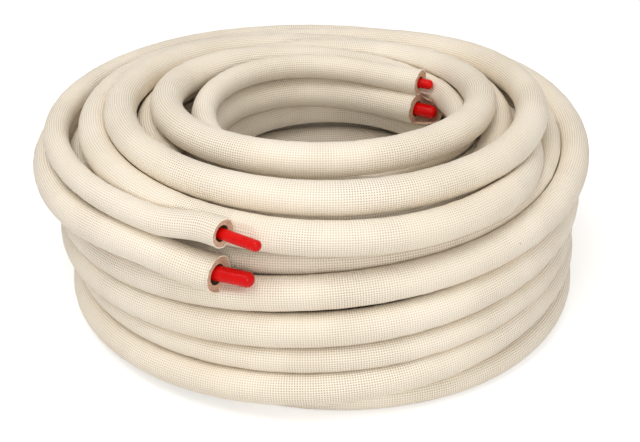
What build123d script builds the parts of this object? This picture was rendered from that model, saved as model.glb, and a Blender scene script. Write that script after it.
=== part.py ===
from build123d import *
import math
import os

# Insulated twin copper tube coil, lying flat on a floor.
# A small and a large copper tube, each in its own foam sleeve, are wound side by side
# into one coil. Both ends of the pair stick out of the winding and carry push-on caps.
# Millimetres, +Z up, origin on the floor at the middle of the coil.

# Copper tubes
LARGE_COPPER_OD = 9.52
SMALL_COPPER_OD = 6.35
COPPER_WALL = 0.8

# Foam sleeves
LARGE_FOAM_WALL = 8.8
SMALL_FOAM_WALL = 7.3
SLEEVE_CLEARANCE = 0.15

# Winding: radii and heights are those of the middle of a tube. Each top turn is given by how
# far it lies in from the highest tube of the outer column and up from it.
OUTER_FOOT_RADIUS = 214.0
OUTER_LEAN = 3.0
OUTER_COLUMN = "LSLL"
TOP_TURNS = ((28.0, 52.2), (45.0, 69.2), (92.0, 86.2))
INNER_COLUMN_RADIUS = 104.0
INNER_COLUMN = "LLLL"
FLOOR_TURNS = 5
TURN_GAP = 1.5
FLOOR_SQUASH = 0.5

# Free ends of the outer pair, each a step out from the turn that it lies on
OUTER_LARGE_STEP_OUT = 1.5
OUTER_LARGE_RUN = 250.0
OUTER_LARGE_END_ANGLE = 249.0
OUTER_LARGE_STRAIGHT = 12.0
OUTER_SMALL_STEP_OUT = 21.8
OUTER_SMALL_RUN = 90.0
OUTER_SMALL_END_ANGLE = 237.0
OUTER_SMALL_STRAIGHT = 64.0

# Free ends of the inner pair, each a step in from what it lies on
INNER_LARGE_STEP_IN = 11.0
INNER_LARGE_END_ANGLE = 61.0
INNER_LARGE_STRAIGHT = 58.0
INNER_SMALL_STEP_IN = 2.0
INNER_SMALL_END_ANGLE = 66.0
INNER_SMALL_STRAIGHT = 66.0
INNER_RUN = 175.0
RUN_GAP = 0.3

# Push-on caps
CAP_WALL = 1.2
CAP_CLEARANCE = 0.1
OUTER_LARGE_CAP_OUT = 28.5
OUTER_SMALL_CAP_OUT = 33.0
INNER_LARGE_CAP_OUT = 18.0
INNER_SMALL_CAP_OUT = 11.5
CAP_IN_FOAM = 9.0
CAP_RECESS_GAP = 0.8
CAP_TOP = 3.0
CAP_ROUND = 0.46

LARGE_BORE = LARGE_COPPER_OD + 2 * SLEEVE_CLEARANCE
SMALL_BORE = SMALL_COPPER_OD + 2 * SLEEVE_CLEARANCE
LARGE_SLEEVE_OD = LARGE_BORE + 2 * LARGE_FOAM_WALL
SMALL_SLEEVE_OD = SMALL_BORE + 2 * SMALL_FOAM_WALL
TUBE_RADIUS = {"L": LARGE_SLEEVE_OD / 2, "S": SMALL_SLEEVE_OD / 2}


def column_centres(foot_radius, lean, tubes):
    """Centres of the tubes that stand on each other in one column, from the floor up."""
    centres = []
    radius = foot_radius
    top = -FLOOR_SQUASH
    for tube in tubes:
        centres.append((radius, top + TUBE_RADIUS[tube], TUBE_RADIUS[tube]))
        radius += lean
        top += 2 * TUBE_RADIUS[tube] + TURN_GAP
    return centres


def height_against(seat, radius, tube_radius):
    """Height of a tube of a given turn radius that lies against another from above."""
    reach = seat[2] + tube_radius + RUN_GAP
    return seat[1] + math.sqrt(reach**2 - (radius - seat[0]) ** 2)


def height_over(seat, tube_radius):
    """Height of a tube that crosses over another."""
    return seat[1] + seat[2] + tube_radius + RUN_GAP


def turned(face):
    """A solid turned about the coil's upright axis."""
    return revolve(face, Axis.Z, 360)


def winding(outer, top, inner):
    """All the wound turns as one turned solid, with a lobe for each turn that shows."""
    lobes = Sketch()
    foot, ledge = outer[0], inner[-1]
    step = (foot[0] - inner[0][0]) / (FLOOR_TURNS - 1)
    floor = [(foot[0] - n * step, foot[1], foot[2]) for n in range(1, FLOOR_TURNS - 1)]
    for r, z, tube_radius in (*outer, *top, *inner, *floor):
        lobes += Pos(r, z) * Circle(tube_radius)
    outline = [(r, z) for r, z, _ in outer]
    outline.append((top[0][0], outer[-1][1]))
    outline += [(r, z) for r, z, _ in top]
    outline.append((top[-1][0], ledge[1]))
    outline += [(r, z) for r, z, _ in reversed(inner)]
    lobes += make_face(Polyline(*outline, close=True))
    lobes -= Pos(0, -foot[0]) * Rectangle(4 * foot[0], 2 * foot[0])
    section = Plane.XZ * lobes.face()
    return turned(section)


class Run:
    """A free run of the pair: an arc about the coil's axis with a straight end."""

    def __init__(self, seat, end_angle, sweep, heading, straight):
        self.r, self.z, self.sleeve_radius = seat
        self.sweep = sweep
        self.straight = straight
        angle = math.radians(end_angle)
        self.ahead = Vector(-heading * math.sin(angle), heading * math.cos(angle), 0)
        self.end = Vector(self.r * math.cos(angle), self.r * math.sin(angle), self.z)
        self.first = end_angle - sweep if heading > 0 else end_angle

    def arc(self, radius):
        """A rod bent along the run's arc."""
        section = Plane.XZ * (Pos(self.r, self.z) * Circle(radius))
        return Rot(0, 0, self.first) * revolve(section, Axis.Z, self.sweep)

    def rod(self, radius, start, stop):
        """A straight rod along the run's end, measured from where the arc ends."""
        base = Plane(origin=self.end + self.ahead * start, z_dir=self.ahead)
        return extrude(base * Circle(radius), stop - start)

    def bent_rod(self, radius, stop):
        return self.arc(radius) + self.rod(radius, 0, stop)


def sleeve(run, bore, cap_od):
    body = run.bent_rod(run.sleeve_radius, run.straight)
    body -= run.bent_rod(bore / 2, run.straight)
    recess = cap_od / 2 + CAP_RECESS_GAP
    body -= run.rod(recess, run.straight - CAP_IN_FOAM - CAP_RECESS_GAP, run.straight)
    return body


def copper_tube(run, od, cap_out):
    stop = run.straight + cap_out - CAP_TOP - CAP_CLEARANCE
    return run.bent_rod(od / 2, stop) - run.bent_rod(od / 2 - COPPER_WALL, stop)


def cap(run, od, copper_od, cap_out):
    start = run.straight - CAP_IN_FOAM
    stop = run.straight + cap_out
    body = run.rod(od / 2, start, stop)
    rims = body.edges().filter_by(GeomType.CIRCLE)
    tip = rims.sort_by(lambda rim: (rim.center() - run.end).dot(run.ahead))[-1]
    body = fillet(tip, CAP_ROUND * od)
    socket = copper_od / 2 + CAP_CLEARANCE
    return body - run.rod(socket, start, stop - CAP_TOP)


def write(shape, node):
    export_step(shape, f"parts/{node}.step")


def write_end(name, run, bore, copper_od, cap_out):
    """The sleeve, the copper tube and the cap of one free end."""
    cap_od = copper_od + 2 * (CAP_CLEARANCE + CAP_WALL)
    write(sleeve(run, bore, cap_od), f"{name}_sleeve")
    write(copper_tube(run, copper_od, cap_out), f"{name}_copper")
    write(cap(run, cap_od, copper_od, cap_out), f"{name}_cap")


os.makedirs("parts", exist_ok=True)

large = TUBE_RADIUS["L"]
small = TUBE_RADIUS["S"]
outer_column = column_centres(OUTER_FOOT_RADIUS, OUTER_LEAN, OUTER_COLUMN)
inner_column = column_centres(INNER_COLUMN_RADIUS, 0, INNER_COLUMN)
outer_top = outer_column[-1]
top_turns = [(outer_top[0] - inward, outer_top[1] + up, large) for inward, up in TOP_TURNS]
write(winding(outer_column, top_turns, inner_column), "wound_turns")

radius = outer_top[0] + OUTER_LARGE_STEP_OUT
seat = (radius, height_against(outer_top, radius, large), large)
run = Run(seat, OUTER_LARGE_END_ANGLE, OUTER_LARGE_RUN, 1, OUTER_LARGE_STRAIGHT)
write_end("outer_large", run, LARGE_BORE, LARGE_COPPER_OD, OUTER_LARGE_CAP_OUT)

radius = top_turns[0][0] + OUTER_SMALL_STEP_OUT
seat = (radius, height_against(top_turns[0], radius, small), small)
run = Run(seat, OUTER_SMALL_END_ANGLE, OUTER_SMALL_RUN, 1, OUTER_SMALL_STRAIGHT)
write_end("outer_small", run, SMALL_BORE, SMALL_COPPER_OD, OUTER_SMALL_CAP_OUT)

radius = INNER_COLUMN_RADIUS - INNER_LARGE_STEP_IN
inner_large = (radius, height_over(inner_column[-1], large), large)
run = Run(inner_large, INNER_LARGE_END_ANGLE, INNER_RUN, -1, INNER_LARGE_STRAIGHT)
write_end("inner_large", run, LARGE_BORE, LARGE_COPPER_OD, INNER_LARGE_CAP_OUT)

radius = inner_large[0] - INNER_SMALL_STEP_IN
inner_small = (radius, height_over(inner_large, small), small)
run = Run(inner_small, INNER_SMALL_END_ANGLE, INNER_RUN, -1, INNER_SMALL_STRAIGHT)
write_end("inner_small", run, SMALL_BORE, SMALL_COPPER_OD, INNER_SMALL_CAP_OUT)
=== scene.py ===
import math

import bpy
import numpy as np
from mathutils.kdtree import KDTree
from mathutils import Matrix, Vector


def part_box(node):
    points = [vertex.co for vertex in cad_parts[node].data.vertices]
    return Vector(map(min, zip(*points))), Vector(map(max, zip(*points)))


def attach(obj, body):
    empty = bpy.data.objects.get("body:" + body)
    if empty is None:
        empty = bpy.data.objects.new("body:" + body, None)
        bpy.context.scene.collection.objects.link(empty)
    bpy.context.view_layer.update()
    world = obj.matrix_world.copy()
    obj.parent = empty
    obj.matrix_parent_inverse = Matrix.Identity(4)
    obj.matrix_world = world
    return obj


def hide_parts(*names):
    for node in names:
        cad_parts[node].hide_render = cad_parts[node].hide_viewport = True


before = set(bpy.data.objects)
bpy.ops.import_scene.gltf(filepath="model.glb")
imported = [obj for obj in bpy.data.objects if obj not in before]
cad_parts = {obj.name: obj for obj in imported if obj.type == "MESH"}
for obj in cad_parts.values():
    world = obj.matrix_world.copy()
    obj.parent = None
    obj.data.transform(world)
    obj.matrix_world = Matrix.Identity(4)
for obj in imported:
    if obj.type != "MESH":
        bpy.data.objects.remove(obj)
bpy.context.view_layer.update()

# Lengths are written in millimetres, and turned into metres where a mesh is made.
MM = 0.001
LARGE_RADIUS = 13.75
SMALL_RADIUS = 10.65
WINDING_AXIS = (8.0, -9.0)
FLOOR_LIFT = 0.3

# The free ends: the angle that an end points to, how far its cap stands out of the foam, and
# how far the sleeve's middle lies above the tube's. The hole is wider than the cap by room, and
# lies off its middle by hole_side and hole_up. The cut leans by slant, its lip droops by droop,
# and the last stretch of the sleeve is straight over the length of tail.
CAP_IN_FOAM = 9.0
ENDS = {
    "outer_large": dict(
        heading=-21.0, cap_out=28.5, skin_off=-1.2, cap_radius=6.06, room=2.0,
        hole_side=1.5, hole_up=-0.6, slant=0.20, droop=1.8, tail=5.0),
    "outer_small": dict(
        heading=-33.0, cap_out=33.0, skin_off=0.4, cap_radius=4.48, room=1.8,
        hole_side=1.1, hole_up=0.9, slant=0.10, droop=0.0, tail=16.0),
    "inner_large": dict(
        heading=-29.0, cap_out=18.0, skin_off=0.5, cap_radius=6.06, room=0.8,
        hole_side=0.3, hole_up=-0.2, slant=0.12, droop=0.6, tail=16.0),
    "inner_small": dict(
        heading=-24.0, cap_out=11.5, skin_off=0.5, cap_radius=4.48, room=0.8,
        hole_side=0.2, hole_up=0.2, slant=0.10, droop=0.0, tail=16.0),
}


# ---- strands -------------------------------------------------------------------------------

# A strand is a few stations along the winding: degrees round from +X, radius, height.
LARGE_INNER = [
    (90, 101, 127), (180, 102, 132), (270, 103, 134), (330, 116, 142), (360, 123, 143),
    (390, 129, 141), (415, 128, 141), (450, 124, 147), (540, 133, 169), (630, 131.5, 179),
    (720, 136, 167), (765, 144, 153), (810, 148, 145), (855, 150, 142), (900, 148, 146),
    (945, 150, 146), (990, 153, 138), (1035, 152, 139), (1080, 152, 145), (1125, 163, 141),
    (1170, 175, 138), (1215, 171, 153), (1260, 172, 165), (1350, 176, 170),
    (1440, 180, 162), (1485, 190, 149), (1530, 200, 134), (1575, 199, 141),
    (1620, 195.5, 151), (1700, 199.5, 150), (1730, 201, 149), (1755, 195, 147),
    (1775, 184, 142), (1800, 172, 134), (1840, 170, 110), (1890, 176, 92),
]
LARGE_OUTER = [
    (-180, 208, 14), (-135, 219, 19), (-90, 223, 29), (-45, 214, 38), (0, 210, 43),
    (90, 212, 51), (180, 218, 60), (270, 213, 76), (360, 212, 93), (450, 221, 95),
    (540, 220, 89), (585, 214, 93), (630, 205, 105), (675, 207, 113), (720, 220, 121),
    (765, 237, 122), (810, 241, 112), (855, 242, 114), (900, 238, 118), (915, 234.5, 119.5),
    (930, 230, 122), (945, 225, 126.5), (957, 221.5, 126.5), (963, 220, 125),
]
SMALL_OUTER = [
    (-180, 176, 41), (-150, 186, 26), (-125, 196, 12), (-90, 211, 10.6), (-45, 219, 12),
    (0, 212, 18), (90, 205, 27), (180, 208, 37), (270, 218, 52), (360, 210, 68),
    (450, 202, 78), (540, 193, 94), (630, 185, 120), (675, 188, 122), (720, 198, 127),
    (765, 213, 133), (810, 226, 130), (855, 231, 136), (900, 230, 143), (915, 226, 146),
    (930, 222, 149), (945, 219.5, 151.5), (957, 219, 154),
]
SMALL_INNER = [
    (90, 95, 155), (180, 101, 160), (240, 112, 154), (300, 128, 143), (360, 137, 128),
    (450, 140, 118), (540, 148, 112),
]

# The large strand below the top inner turn: down the inner wall, then out over the floor
INNER_WALL_TOP = [
    (-2160, 119, 101), (-2070, 115, 103), (-2010, 108, 100), (-1950, 105, 97),
    (-1860, 109, 86), (-1800, 114, 75),
]
INNER_WALL_RADIUS = 116.0
TURN_DROP = 27.5
FLOOR_START = -990
FLOOR_END = -270
FLOOR_HEIGHT = 13.8
FLOOR_END_RADIUS = 184.0
FLOOR_LAST = (-225, 197, 13.8)
QUARTER_TURN = 90

# Degrees between the points of a strand, the points that may give way to a free end's straight
# stretch, the distance kept from it, and the spacing of a path before it is resampled
POINT_ANGLE = 7.5
END_POINTS = 20
END_GAP = 26.0
DENSE_STEP = 2


def inner_wall():
    """Stations of the inner helix and of the floor spiral."""
    stations = list(INNER_WALL_TOP)
    last_angle, _, last_height = stations[-1]
    for angle in range(last_angle + QUARTER_TURN, FLOOR_START, QUARTER_TURN):
        height = last_height - TURN_DROP * (angle - last_angle) / (4 * QUARTER_TURN)
        stations.append((angle, INNER_WALL_RADIUS, max(height, FLOOR_HEIGHT)))
    for angle in range(FLOOR_START, FLOOR_END + 1, QUARTER_TURN):
        share = (angle - FLOOR_START) / (FLOOR_END - FLOOR_START)
        radius = INNER_WALL_RADIUS + share * (FLOOR_END_RADIUS - INNER_WALL_RADIUS)
        stations.append((angle, radius, FLOOR_HEIGHT))
    stations.append(FLOOR_LAST)
    return stations


def spline(x, y, at):
    """Natural cubic spline through y at x."""
    x = np.asarray(x, float)
    y = np.asarray(y, float).reshape(len(x), -1)
    h = np.diff(x)
    a = np.eye(len(x))
    b = np.zeros_like(y)
    for k in range(1, len(x) - 1):
        a[k, k - 1:k + 2] = h[k - 1], 2 * (h[k - 1] + h[k]), h[k]
        b[k] = 6 * ((y[k + 1] - y[k]) / h[k] - (y[k] - y[k - 1]) / h[k - 1])
    m = np.linalg.solve(a, b)
    k = np.clip(np.searchsorted(x, at) - 1, 0, len(x) - 2)
    t = (at - x[k])[:, None]
    u = (x[k + 1] - at)[:, None]
    g = h[k][:, None]
    curve = (m[k] * u**3 + m[k + 1] * t**3) / (6 * g)
    return curve + (y[k] / g - m[k] * g / 6) * u + (y[k + 1] / g - m[k + 1] * g / 6) * t


def end_line(name):
    """The middle of the face of a free end, and the way that the end points."""
    low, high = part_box(name + "_cap")
    middle = np.array((low + high) / 2) / MM
    end = ENDS[name]
    angle = math.radians(end["heading"])
    ahead = np.array([math.cos(angle), math.sin(angle), 0.0])
    return middle - ahead * (end["cap_out"] - CAP_IN_FOAM) / 2, ahead


def centre_line(stations, start=None, end=None):
    """Points of a strand's middle at even angles, led into the free ends it is given."""
    table = np.array(stations, float)
    count = int(round((table[-1, 0] - table[0, 0]) / POINT_ANGLE)) + 1
    angles = np.linspace(table[0, 0], table[-1, 0], count)
    polar = spline(table[:, 0], table[:, 1:], angles)
    a = np.radians(angles)
    points = np.stack([WINDING_AXIS[0] + polar[:, 0] * np.cos(a),
                       WINDING_AXIS[1] + polar[:, 0] * np.sin(a), polar[:, 1]], -1)
    for name, at_start in ((start, True), (end, False)):
        if name is None:
            continue
        straight = ENDS[name]["tail"]
        face, ahead = end_line(name)
        face = face + np.array([0, 0, ENDS[name]["skin_off"]])
        tail = [face - ahead * back for back in (straight, 0.0)]
        near = np.linalg.norm(points - face, axis=1) < straight + END_GAP
        place = np.arange(len(points))
        near &= place <= END_POINTS if at_start else place >= len(points) - 1 - END_POINTS
        points = points[~near]
        points = np.vstack([tail[::-1], points]) if at_start else np.vstack([points, tail])
    return points


def resample(points, step):
    """Even steps along a smooth curve through the points."""
    run = np.r_[0, np.cumsum(np.linalg.norm(np.diff(points, axis=0), axis=1))]
    dense = spline(run, points, np.linspace(0, run[-1], int(run[-1] / DENSE_STEP) + 2))
    along = np.r_[0, np.cumsum(np.linalg.norm(np.diff(dense, axis=0), axis=1))]
    count = max(3, int(round(along[-1] / step)) + 1)
    at = np.linspace(0, along[-1], count)
    return np.stack([np.interp(at, along, dense[:, k]) for k in range(3)], -1), at


def frames(path):
    """Tangent, outward side and upward side at each point of a path."""
    tangent = np.gradient(path, axis=0)
    tangent /= np.linalg.norm(tangent, axis=1)[:, None]
    side = np.cross(tangent, [0, 0, 1.0])
    side /= np.linalg.norm(side, axis=1)[:, None]
    return tangent, side, np.cross(side, tangent)


# ---- meshes --------------------------------------------------------------------------------

def make_object(name, verts, faces, materials, face_material=None, uv=None):
    mesh = bpy.data.meshes.new(name)
    mesh.from_pydata((np.asarray(verts) * MM).tolist(), [], faces)
    for material in materials:
        mesh.materials.append(material)
    if face_material is not None:
        mesh.polygons.foreach_set("material_index", face_material)
    mesh.polygons.foreach_set("use_smooth", [True] * len(mesh.polygons))
    if uv is not None:
        layer = mesh.uv_layers.new(name="Skin")
        layer.data.foreach_set("uv", np.asarray(uv, np.float32).ravel())
    mesh.update()
    obj = bpy.data.objects.new(name, mesh)
    bpy.context.scene.collection.objects.link(obj)
    return obj


def grid_faces(rings, sides, first=0):
    """Quads between rings of vertices, outward for a tube that runs along its frames."""
    faces = []
    for i in range(rings - 1):
        a, b = first + i * sides, first + (i + 1) * sides
        for j in range(sides):
            k = (j + 1) % sides
            faces.append((a + j, a + k, b + k, b + j))
    return faces


def ripple(rng, along, around, terms, shortest, longest):
    """Smooth random relief over a tube's skin, mostly between -1 and 1."""
    total = np.zeros((len(along), len(around)))
    for _ in range(terms):
        wave = 2 * math.pi / rng.uniform(shortest, longest)
        turns = rng.integers(-3, 4)
        phase = rng.uniform(0, 2 * math.pi)
        total += np.cos(wave * along[:, None] + turns * around[None, :] + phase)
    return total / math.sqrt(terms) / 1.6


# Skin grid: one cell is about this long along the tube, and a whole number fit round it
CELL = 1.95
LARGE_CELLS = 44
SMALL_CELLS = 34
SIDES = 36

# Relief of a sleeve's surface: broad, as a share of its radius, and fine, in millimetres
BROAD_RELIEF = 0.010
BROAD_WAVES = dict(terms=14, shortest=60, longest=180)
FINE_RELIEF = 0.16
FINE_WAVES = dict(terms=24, shortest=14, longest=40)

# A sleeve widens towards its free end
FLARE = 1.2
FLARE_REACH = 40.0

# Pressing: the spacing of the points that push, how near along its own strand a point is left
# out, how near a strand must come, the gap in which skins touch, the share of the overlap that
# each gives way by, the most it gives, and how far from a free end this starts and grows full
PRESS_STEP = 6.0
PRESS_OWN = 60
PRESS_REACH = 2 * LARGE_RADIUS + 3
PRESS_TOUCH = 0.6
PRESS_SHARE = 0.5
PRESS_MOST = 6.0
EASE_START = 15
EASE_LENGTH = 70
TINY = 1e-6


class Strand:
    """A sleeve's path with its frames, and the free ends that it runs into."""

    def __init__(self, name, stations, radius, step, seed, **ends):
        self.name = name
        self.radius = radius
        self.seed = seed
        self.ends = ends
        self.path, self.along = resample(centre_line(stations, **ends), step)
        self.flared = [0 if key == "start" else -1 for key in ends]
        self.tangent, self.side, self.up = frames(self.path)


def tube_surface(strand):
    """Rings of points round a strand, with the relief of its foam."""
    rng = np.random.default_rng(strand.seed)
    around = np.linspace(0, 2 * math.pi, SIDES, endpoint=False)
    broad = ripple(rng, strand.along, around, **BROAD_WAVES)
    radius = strand.radius * (1 + BROAD_RELIEF * broad)
    radius += FINE_RELIEF * ripple(rng, strand.along, around, **FINE_WAVES)
    for at in strand.flared:
        away = np.abs(strand.along - strand.along[at])
        radius += FLARE * np.exp(-away / FLARE_REACH)[:, None]
    cos, sin = np.cos(around)[None, :, None], np.sin(around)[None, :, None]
    spoke = cos * strand.side[:, None, :] + sin * strand.up[:, None, :]
    return strand.path[:, None, :] + radius[:, :, None] * spoke


def press(strands, surfaces):
    """Presses touching sleeves flat against each other, and the lowest ones against the floor."""
    points, owner, radii, places = [], [], [], []
    for n, strand in enumerate(strands):
        spacing = max(strand.along[1] - strand.along[0], TINY)
        every = max(1, int(PRESS_STEP / spacing))
        for i in range(0, len(strand.path), every):
            points.append(strand.path[i])
            owner.append(n)
            radii.append(strand.radius)
            places.append(strand.along[i])
    tree = KDTree(len(points))
    for i, p in enumerate(points):
        tree.insert(p, i)
    tree.balance()
    points, owner = np.array(points), np.array(owner)
    radii, places = np.array(radii), np.array(places)
    for n, (strand, surface) in enumerate(zip(strands, surfaces)):
        ease = np.ones(len(strand.path))
        for at in strand.flared:
            away = np.abs(strand.along - strand.along[at])
            ease = np.clip((away - EASE_START) / EASE_LENGTH, 0, 1)
        for i in range(len(strand.path)):
            near = [k for _, k, _ in tree.find_range(strand.path[i], PRESS_REACH)]
            near = [k for k in near
                    if owner[k] != n or abs(places[k] - strand.along[i]) > PRESS_OWN]
            if not near:
                continue
            ring = surface[i]
            q, r = points[near], radii[near]
            away = ring[:, None, :] - q[None, :, :]
            across = away - (away @ strand.tangent[i])[:, :, None] * strand.tangent[i]
            gap = np.linalg.norm(across, axis=2)
            deep = r[None, :] - gap
            worst = np.argmax(deep, axis=1)
            rows = np.arange(len(ring))
            depth = deep[rows, worst]
            hit = depth > -PRESS_TOUCH
            push = across[rows, worst] / np.maximum(gap[rows, worst], TINY)[:, None]
            amount = np.where(hit, PRESS_SHARE * (depth + PRESS_TOUCH), 0.0)
            ring += push * np.minimum(amount, PRESS_MOST)[:, None] * ease[i]
        surface[:, :, 2] = np.maximum(surface[:, :, 2], FLOOR_LIFT)


# A free end: how far the film's lip stands out, at least and at most more, how the film turns
# over at its edge, the edge of the cut foam, and how rough its cells are
LIP = 0.25
LIP_RAGGED = 0.7
LIP_OUT = 0.12
LIP_TURN = 1.0
LIP_THICK = 0.1
FOAM_EDGE = 1.5
FOAM_BACK = 0.35
FOAM_SHARES = (0.2, 0.45, 0.7, 0.9)
CELL_RELIEF = 0.17
# The hole: its rounded rim, rings down its wall as (how much narrower, how deep), its bottom
HOLE_RIM = 0.4
HOLE_WALL = ((0.0, 0.7), (0.0, 4.5), (0.3, 9.3))
HOLE_BOTTOM = 9.4
# Rings of an end from its surface inwards: how many show film, and the last that is cut foam
FILM_RINGS = 2
FOAM_RINGS = 8
# Slots of the materials on a sleeve's mesh; the last is the hole's painted shade
FILM, CUT_FOAM, HOLE_SHADE_FOAM = 0, 1, 2
END_SEED = 40


def end_rings(name, ring, centre, rng):
    """Leans a free end's cut, and gives the rings of its film lip, cut foam and hole."""
    end = ENDS[name]
    ahead = end_line(name)[1]
    side, up = np.cross(ahead, [0, 0, 1.0]), np.array([0, 0, 1.0])
    out = ring - centre
    out -= (out @ ahead)[:, None] * ahead
    reach = np.linalg.norm(out, axis=1)[:, None]
    unit = out / reach
    lean = -end["slant"] * (unit @ side)[:, None]
    low = np.clip(-(unit @ up), 0, 1)[:, None] ** 3
    lip = LIP + LIP_RAGGED * rng.random((len(ring), 1)) ** 2 + end["droop"] * low
    axis = centre - up * end["skin_off"]
    hole_middle = axis + side * end["hole_side"] + up * end["hole_up"]
    hole = end["cap_radius"] + end["room"]

    def rim(radius, depth):
        return centre + unit * radius + ahead * (depth + lean * radius)

    def bore(radius, depth):
        return hole_middle + unit * radius + ahead * (depth + lean * radius)

    def cells():
        return rng.normal(0, CELL_RELIEF, (len(ring), 1))

    edge, inside = rim(reach - FOAM_EDGE, -FOAM_BACK), bore(hole + HOLE_RIM, 0.0)
    turned = rim(reach - LIP_TURN, lip - LIP_THICK)
    rings = [rim(reach, 0.0), rim(reach + LIP_OUT, lip), turned, edge]
    for share in FOAM_SHARES:
        rings.append(edge + share * (inside - edge) + ahead * cells())
    rings.append(inside)
    rings += [bore(hole - narrower, -deep) for narrower, deep in HOLE_WALL]
    return rings, hole_middle - ahead * HOLE_BOTTOM


def tube_piece(strand, surface, materials):
    """A sleeve's mesh from its surface, open ends closed, free ends with their cut and hole."""
    rings, sides = surface.shape[:2]
    along = strand.along / CELL
    cells = LARGE_CELLS if strand.radius == LARGE_RADIUS else SMALL_CELLS
    round_ = np.arange(sides + 1) / sides * cells
    closing = []
    for name, ring in ((strand.ends.get("start"), 0), (strand.ends.get("end"), rings - 1)):
        if name is None:
            closing.append((ring, [], strand.path[ring]))
            continue
        rng = np.random.default_rng(strand.seed + END_SEED)
        extra, middle = end_rings(name, surface[ring], strand.path[ring], rng)
        surface[ring] = extra[0]
        closing.append((ring, extra[1:], middle))
    verts = list(surface.reshape(-1, 3))
    faces = grid_faces(rings, sides)
    uv = np.zeros((rings - 1, sides, 4, 2))
    for corner, (di, dj) in enumerate(((0, 0), (0, 1), (1, 1), (1, 0))):
        uv[:, :, corner, 0] = along[di:rings - 1 + di, None]
        uv[:, :, corner, 1] = round_[None, dj:sides + dj]
    uv = list(uv.reshape(-1, 2))
    slots = [FILM] * len(faces)
    for ring, extra, middle in closing:
        first = ring == 0
        base = ring * sides
        for depth, points in enumerate(extra):
            # Rings past the cut foam, down the hole, take the hole's painted shade
            slot = FILM if depth < FILM_RINGS else CUT_FOAM if depth < FOAM_RINGS else HOLE_SHADE_FOAM
            top = len(verts)
            verts += list(points)
            for j in range(sides):
                k = (j + 1) % sides
                quad = (base + j, base + k, top + k, top + j)
                faces.append(quad[::-1] if first else quad)
                slots.append(slot)
                uv += [(along[ring], round_[j])] * 4
            base = top
        centre = len(verts)
        verts.append(middle)
        for j in range(sides):
            k = (j + 1) % sides
            pair = (base + k, base + j) if first else (base + j, base + k)
            faces.append((*pair, centre))
            slots.append(HOLE_SHADE_FOAM if extra else FILM)
            uv += [(0, 0)] * 3
    return make_object(strand.name, verts, faces, materials, slots, uv)


TORN_SMOOTHING = 4
TORN_TIP = 0.6
TORN_SIDE = 0.4


def torn_piece(name, end_name, rows, wall, material_pair):
    """A torn shell of foam and film beside an end. Each row is a distance past the cut and
    the points of the shell there, to the side and up from the sleeve's middle."""
    face, ahead = end_line(end_name)
    face = face + np.array([0, 0, ENDS[end_name]["skin_off"]])
    side = np.cross(ahead, [0, 0, 1.0])
    table = np.array([[face + ahead * far + side * a + np.array([0, 0, b]) for a, b in points]
                      for far, points in rows])
    table = smooth_grid(table, TORN_SMOOTHING).transpose(1, 0, 2)
    table = smooth_grid(table, TORN_SMOOTHING).transpose(1, 0, 2)
    along = np.gradient(table, axis=0)
    across = np.gradient(table, axis=1)
    normal = np.cross(along, across)
    normal /= np.linalg.norm(normal, axis=2)[:, :, None]
    rng = np.random.default_rng(len(name))
    table[-1] += ahead * rng.uniform(-TORN_TIP, TORN_TIP, (table.shape[1], 1))
    ragged = rng.uniform(-TORN_SIDE, TORN_SIDE, (table.shape[0] - 2, 1))
    table[1:-1, 0] += normal[1:-1, 0] * ragged
    inner, outer = table, table + normal * wall
    n, m = table.shape[:2]
    verts = np.vstack([inner.reshape(-1, 3), outer.reshape(-1, 3)])
    shift = n * m
    faces, slots = [], []
    for i in range(n - 1):
        for j in range(m - 1):
            a, d = i * m + j, (i + 1) * m + j
            b, c = a + 1, d + 1
            faces += [(a, b, c, d), (a + shift, d + shift, c + shift, b + shift)]
            slots += [CUT_FOAM, FILM]
    loop = list(range(m)) + [i * m + m - 1 for i in range(1, n)]
    loop += [(n - 1) * m + j for j in range(m - 2, -1, -1)] + [i * m for i in range(n - 2, 0, -1)]
    for a, b in zip(loop, loop[1:] + loop[:1]):
        faces.append((b, a, a + shift, b + shift))
        slots.append(CUT_FOAM)
    # Whole cells only, so that the film's pits fall on the corners
    uv = [(v % 7 * 1.0, v % 5 * 1.0) for corners in faces for v in corners]
    return make_object(name, verts, faces, material_pair, slots, uv)


def smooth_grid(table, times):
    """Splits each step of a grid's first way into smaller ones along a spline."""
    count = len(table)
    at = np.linspace(0, count - 1, (count - 1) * times + 1)
    flat = spline(np.arange(count), table.reshape(count, -1), at)
    return flat.reshape((len(at),) + table.shape[1:])


# ---- materials -----------------------------------------------------------------------------

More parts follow.
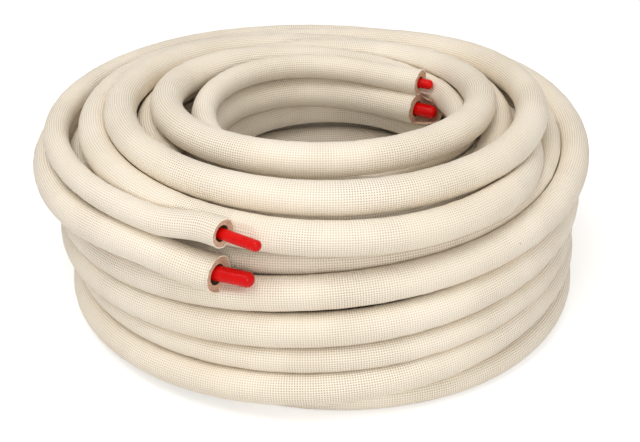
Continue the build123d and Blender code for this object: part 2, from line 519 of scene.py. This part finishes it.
class Nodes:
    """Short names for building the node tree of a material or a world."""

    def __init__(self, owner):
        self.owner = owner
        owner.use_nodes = True
        self.tree = owner.node_tree
        self.tree.nodes.clear()

    def new(self, kind, inputs=None, **settings):
        node = self.tree.nodes.new(kind)
        for key, value in settings.items():
            setattr(node, key, value)
        for key, value in (inputs or {}).items():
            socket = node.inputs[key]
            if isinstance(value, bpy.types.NodeSocket):
                self.tree.links.new(value, socket)
            else:
                socket.default_value = value
        return node

    def math(self, operation, *values):
        inputs = dict(enumerate(values))
        return self.new("ShaderNodeMath", inputs, operation=operation).outputs[0]

    def noise(self, vector, scale, detail=2.0, roughness=0.5):
        inputs = {"Vector": vector, "Scale": scale, "Detail": detail, "Roughness": roughness}
        return self.new("ShaderNodeTexNoise", inputs).outputs[0]

    def span(self, value, low, high, to_low=0.0, to_high=1.0):
        inputs = {0: value, 1: low, 2: high, 3: to_low, 4: to_high}
        node = self.new("ShaderNodeMapRange", inputs, interpolation_type="SMOOTHSTEP")
        return node.outputs[0]

    def mix(self, factor, a, b):
        return self.new("ShaderNodeMix", {0: factor, 6: a, 7: b}, data_type="RGBA").outputs[2]

    def bumped(self, height, strength, depth):
        inputs = {"Height": height, "Strength": strength, "Distance": depth}
        return self.new("ShaderNodeBump", inputs).outputs[0]

    def surface(self, colour, rough, normal, specular):
        """Ends a material with one principled shader."""
        shader = self.new("ShaderNodeBsdfPrincipled", {
            "Base Color": colour, "Roughness": rough, "Normal": normal,
            "Specular IOR Level": specular})
        return self.finish(shader.outputs[0], "ShaderNodeOutputMaterial")

    def finish(self, shader, output):
        self.new(output, {"Surface": shader})
        return self.owner

    def object_place(self):
        return self.new("ShaderNodeTexCoord").outputs["Object"]

    def seen_directly(self):
        """1 where a camera, glossy or transmission ray looks, and 0 for all other light."""
        ray = self.new("ShaderNodeLightPath").outputs
        seen = self.math("MAXIMUM", ray["Is Camera Ray"], ray["Is Glossy Ray"])
        return self.math("MAXIMUM", seen, ray["Is Transmission Ray"])


# Colours are linear. Noise scales are per metre, and depths of relief are in metres.
FILM_DULL = (0.90, 0.815, 0.68, 1)
FILM_CLEAN = (0.94, 0.865, 0.745, 1)
FILM_SPECULAR = 0.35
# The pits are darkened in colour as well as bumped: painted shade in the pits
PAINTED_PIT_SHADE = (0.30, 0.215, 0.14, 1)
PIT_SHARPNESS = 1.35
PIT_SHADE = 0.85
PIT_DEPTH = 0.00045
SPECK_COLOUR = (0.16, 0.12, 0.09, 1)
SPECK_SHADE = 0.7


def skin_material():
    """White film on foam, embossed all over with a grid of small pits darkened with painted
    shade, and with dirt specks.
    """
    n = Nodes(bpy.data.materials.new("foam_skin_film"))
    uv = n.new("ShaderNodeUVMap", uv_map="Skin").outputs[0]
    place = n.object_place()
    cell = n.new("ShaderNodeSeparateXYZ", {0: uv})

    wobble = n.noise(place, 60.0, 1.0)
    u = n.math("MULTIPLY_ADD", wobble, 0.25, cell.outputs[0])
    wave_u = n.math("COSINE", n.math("MULTIPLY", u, 2 * math.pi))
    wave_v = n.math("COSINE", n.math("MULTIPLY", cell.outputs[1], 2 * math.pi))
    half_u = n.math("MULTIPLY_ADD", wave_u, 0.5, 0.5)
    half_v = n.math("MULTIPLY_ADD", wave_v, 0.5, 0.5)
    pit = n.math("POWER", n.math("MULTIPLY", half_u, half_v), PIT_SHARPNESS)
    pressed = n.span(n.noise(place, 14.0, 3.0), 0.35, 0.65, 0.55, 1.0)
    pit = n.math("MULTIPLY", pit, pressed)

    mottle = n.noise(place, 9.0, 4.0, 0.6)
    base = n.mix(n.span(mottle, 0.3, 0.7), FILM_DULL, FILM_CLEAN)
    # Painted shade: each pit's colour is darkened towards the dark pit colour as deep as the pit
    # goes
    pit_shade_and_specks = n.mix(n.math("MULTIPLY", pit, PIT_SHADE), base, PAINTED_PIT_SHADE)

    speck = n.new("ShaderNodeTexVoronoi", {"Vector": place, "Scale": 55.0})
    dot = n.span(speck.outputs["Distance"], 0.03, 0.055, 1.0, 0.0)
    draw = n.new("ShaderNodeSeparateXYZ", {0: speck.outputs["Color"]}).outputs[0]
    rare = n.math("MULTIPLY", n.span(draw, 0.965, 0.97), SPECK_SHADE)
    pit_shade_and_specks = n.mix(n.math("MULTIPLY", dot, rare), pit_shade_and_specks, SPECK_COLOUR)

    grain = n.math("MULTIPLY", n.noise(place, 260.0, 3.0), 0.25)
    height = n.math("MULTIPLY_ADD", pit, -1.0, grain)
    rough = n.span(n.noise(place, 30.0, 2.0), 0.3, 0.7, 0.50, 0.64)
    return n.surface(pit_shade_and_specks, rough, n.bumped(height, 1.0, PIT_DEPTH), FILM_SPECULAR)


FOAM_DARK = (0.66, 0.44, 0.31, 1)
FOAM_LIGHT = (0.76, 0.55, 0.41, 1)
# Painted shade: the foam deep in a free end's hole is coloured nearly black brown
HOLE_SHADE_DARK = (0.035, 0.022, 0.015, 1)
HOLE_SHADE_LIGHT = (0.06, 0.04, 0.028, 1)
# Painted shade in the hollows of the foam's cells
FOAM_CELL_SHADE = (0.30, 0.17, 0.10, 1)
FOAM_ROUGH = 0.85
FOAM_SPECULAR = 0.2
FOAM_DEPTH = 0.0003


def foam_material(name, dark, light):
    """Cut foam: small open cells with painted shade in their hollows, pinkish tan, or nearly
    black brown as painted shade where it lies deep in the hole.
    """
    n = Nodes(bpy.data.materials.new(name))
    place = n.object_place()
    fine = n.noise(place, 900.0, 3.0)
    broad = n.noise(place, 120.0, 2.0)
    colour = n.mix(n.span(broad, 0.3, 0.7), dark, light)
    # Painted shade: the colour darkens where the bump is low, in the hollows of the cells
    colour = n.mix(n.span(fine, 0.35, 0.6, 0.5, 0.0), colour, FOAM_CELL_SHADE)
    return n.surface(colour, FOAM_ROUGH, n.bumped(fine, 1.0, FOAM_DEPTH), FOAM_SPECULAR)


CAP_DARK = (0.60, 0.002, 0.002, 1)
CAP_LIGHT = (0.70, 0.004, 0.003, 1)
CAP_SPECULAR = 0.16
CAP_DEPTH = 0.00008


def cap_material():
    """Glossy red soft plastic with faint smears."""
    n = Nodes(bpy.data.materials.new("cap_red"))
    place = n.object_place()
    broad = n.noise(place, 90.0, 3.0)
    fine = n.noise(place, 500.0, 2.0)
    colour = n.mix(n.span(broad, 0.3, 0.7), CAP_DARK, CAP_LIGHT)
    rough = n.span(broad, 0.3, 0.7, 0.20, 0.34)
    return n.surface(colour, rough, n.bumped(fine, 0.5, CAP_DEPTH), CAP_SPECULAR)


FLOOR_COLOUR = (0.80, 0.80, 0.80, 1)
FLOOR_GLOW = 0.45


def floor_material():
    """Pale floor: white where it is seen unshaded, and it keeps the object's shadow."""
    n = Nodes(bpy.data.materials.new("floor_white"))
    diffuse = n.new("ShaderNodeBsdfDiffuse", {"Color": FLOOR_COLOUR})
    strength = n.math("MULTIPLY", n.seen_directly(), FLOOR_GLOW)
    glow = n.new("ShaderNodeEmission", {"Strength": strength})
    both = n.new("ShaderNodeAddShader", {0: diffuse.outputs[0], 1: glow.outputs[0]})
    return n.finish(both.outputs[0], "ShaderNodeOutputMaterial")


# ---- the coil ------------------------------------------------------------------------------

skin = skin_material()
foam = foam_material("foam_cut", FOAM_DARK, FOAM_LIGHT)
# The hole's material is painted shade: foam coloured nearly black on the hole's wall and bottom
hole = foam_material("foam_painted_hole_shade", HOLE_SHADE_DARK, HOLE_SHADE_LIGHT)
red = cap_material()

# Spacing of the rings of a sleeve that shows, and of one that lies under others
STEP_SEEN = 4.0
STEP_HIDDEN = 9.0

# The last number of each strand is its random seed.
strands = [
    Strand("large_sleeve_inner_turns", LARGE_INNER, LARGE_RADIUS, STEP_SEEN, 1,
           start="inner_large"),
    Strand("large_sleeve_outer_turns", LARGE_OUTER, LARGE_RADIUS, STEP_SEEN, 2,
           end="outer_large"),
    Strand("small_sleeve_outer_turns", SMALL_OUTER, SMALL_RADIUS, STEP_SEEN, 3,
           end="outer_small"),
    Strand("small_sleeve_inner_turns", SMALL_INNER, SMALL_RADIUS, STEP_SEEN, 4,
           start="inner_small"),
    Strand("large_sleeve_lower_turns", inner_wall() + LARGE_OUTER[:1], LARGE_RADIUS,
           STEP_HIDDEN, 6),
]
surfaces = [tube_surface(strand) for strand in strands]
press(strands, surfaces)


def add_piece(piece):
    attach(piece, "root")


for strand, surface in zip(strands, surfaces):
    add_piece(tube_piece(strand, surface, [skin, foam, hole]))

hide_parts("wound_turns", "inner_large_sleeve", "inner_large_copper")
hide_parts("outer_large_sleeve", "outer_large_copper")
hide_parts("outer_small_sleeve", "outer_small_copper")
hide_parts("inner_small_sleeve", "inner_small_copper")

# Turns inside the winding, which only show as shade between the others: full rounds as
# (radius, height), and two arcs under gaps at the right and the left of the top
HIDDEN_TURNS = [(180, 41.5), (152, 41.5), (152, 69.0), (150, 96.5), (172, 108)]
HIDDEN_ANGLES = range(0, 361, 30)
HIDDEN_SEED = 20
RIGHT_ARC = [(5, 200, 106), (35, 206, 110), (60, 206, 108), (90, 200, 104)]
LEFT_ARC = [
    (120, 206, 110), (150, 208, 118), (180, 208, 120), (205, 206, 121), (230, 202, 121),
]
hidden = [[(angle, r, z) for angle in HIDDEN_ANGLES] for r, z in HIDDEN_TURNS]
for n, turn in enumerate(hidden + [LEFT_ARC, RIGHT_ARC]):
    name = f"large_sleeve_middle_turn_{n}"
    strand = Strand(name, turn, LARGE_RADIUS, STEP_HIDDEN, HIDDEN_SEED + n)
    add_piece(tube_piece(strand, tube_surface(strand), [skin]))

# Torn foam left at the inner ends: each row is how far it lies past the cut, and its points as
# (to the side, up) from the sleeve's middle
LARGE_TORN = [
    (-1.0, [(-6.6, 10.2), (-12.0, 2.0), (-9.0, -8.0), (1.0, -12.4), (6.0, -11.2)]),
    (8.0, [(-3.8, 8.3), (-11.0, 2.0), (-9.0, -7.0), (1.0, -11.6), (6.0, -10.2)]),
    (14.0, [(-5.9, 5.8), (-10.5, 0.0), (-8.0, -7.0), (0.0, -10.2), (4.0, -9.2)]),
    (21.0, [(-6.2, 0.4), (-8.5, -2.2), (-7.0, -6.0), (-1.0, -8.6), (2.6, -8.2)]),
]
SMALL_TORN = [
    (-1.0, [(1.5, -9.8), (-3.0, -9.4), (-7.0, -7.4)]),
    (6.5, [(1.0, -10.4), (-3.0, -8.6), (-6.0, -5.6)]),
    (12.5, [(-1.0, -11.0), (-2.8, -7.8), (-3.2, -4.9)]),
]
LARGE_WALL = 1.6
SMALL_WALL = 1.2
for name, end_name, rows, wall in (
        ("large_sleeve_torn_foam", "inner_large", LARGE_TORN, LARGE_WALL),
        ("small_sleeve_torn_foam", "inner_small", SMALL_TORN, SMALL_WALL)):
    add_piece(torn_piece(name, end_name, rows, wall, [skin, foam]))

for name in ENDS:
    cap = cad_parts[name + "_cap"]
    cap.data.materials.clear()
    cap.data.materials.append(red)


# ---- floor, light and camera, in metres ----------------------------------------------------

FLOOR_SIZE = 8.0
WORLD_COLOUR = (1.0, 0.98, 0.95, 1)
WORLD_LIGHT = 0.56
WORLD_SEEN = 1.0
LAMP_COLOUR = (1.0, 0.975, 0.94)
LAMP_TARGET = (0, 0, 0.1)

# The camera as solved from the photo: its focal length is in the photo's pixels.
FOCAL_PIXELS = 1400
PHOTO_WIDTH = 640
SENSOR_WIDTH = 36.0
CAMERA_PLACE = (0.008, -1.0978, 0.6927)
CAMERA_TILT = 59.28
CAMERA_TURN = 0.10


def plane(name, size, material):
    h = size / 2
    corners = [(-h, -h, 0), (h, -h, 0), (h, h, 0), (-h, h, 0)]
    mesh = bpy.data.meshes.new(name)
    mesh.from_pydata(corners, [], [(0, 1, 2, 3)])
    mesh.materials.append(material)
    obj = bpy.data.objects.new(name, mesh)
    bpy.context.scene.collection.objects.link(obj)
    return obj


def area_light(name, place, size, watts):
    """A round lamp that points at the coil."""
    lamp_data = bpy.data.lights.new(name, "AREA")
    lamp_data.shape = "DISK"
    lamp_data.size = size
    lamp_data.energy = watts
    lamp_data.color = LAMP_COLOUR
    lamp = bpy.data.objects.new(name, lamp_data)
    bpy.context.scene.collection.objects.link(lamp)
    lamp.location = place
    away = np.array(place, float) - np.array(LAMP_TARGET, float)
    flat = math.hypot(away[0], away[1])
    lamp.rotation_euler = (math.atan2(flat, away[2]), 0, math.atan2(away[0], -away[1]))


plane("floor", FLOOR_SIZE, floor_material())

studio = Nodes(bpy.data.worlds.new("studio"))
level = studio.span(studio.seen_directly(), 0.0, 1.0, WORLD_LIGHT, WORLD_SEEN)
background = studio.new("ShaderNodeBackground", {"Color": WORLD_COLOUR, "Strength": level})
world = studio.finish(background.outputs[0], "ShaderNodeOutputWorld")
bpy.context.scene.world = world

area_light("key", (-0.35, -0.55, 1.9), 1.2, 14.5)
area_light("front", (0.25, -2.2, 1.1), 1.0, 15.0)

lens = bpy.data.cameras.new("camera")
lens.sensor_width = SENSOR_WIDTH
lens.lens = FOCAL_PIXELS / PHOTO_WIDTH * SENSOR_WIDTH
camera = bpy.data.objects.new("camera", lens)
bpy.context.scene.collection.objects.link(camera)
camera.location = CAMERA_PLACE
camera.rotation_euler = (math.radians(CAMERA_TILT), 0, math.radians(CAMERA_TURN))
bpy.context.scene.camera = camera
bpy.context.scene.view_settings.view_transform = "Standard"
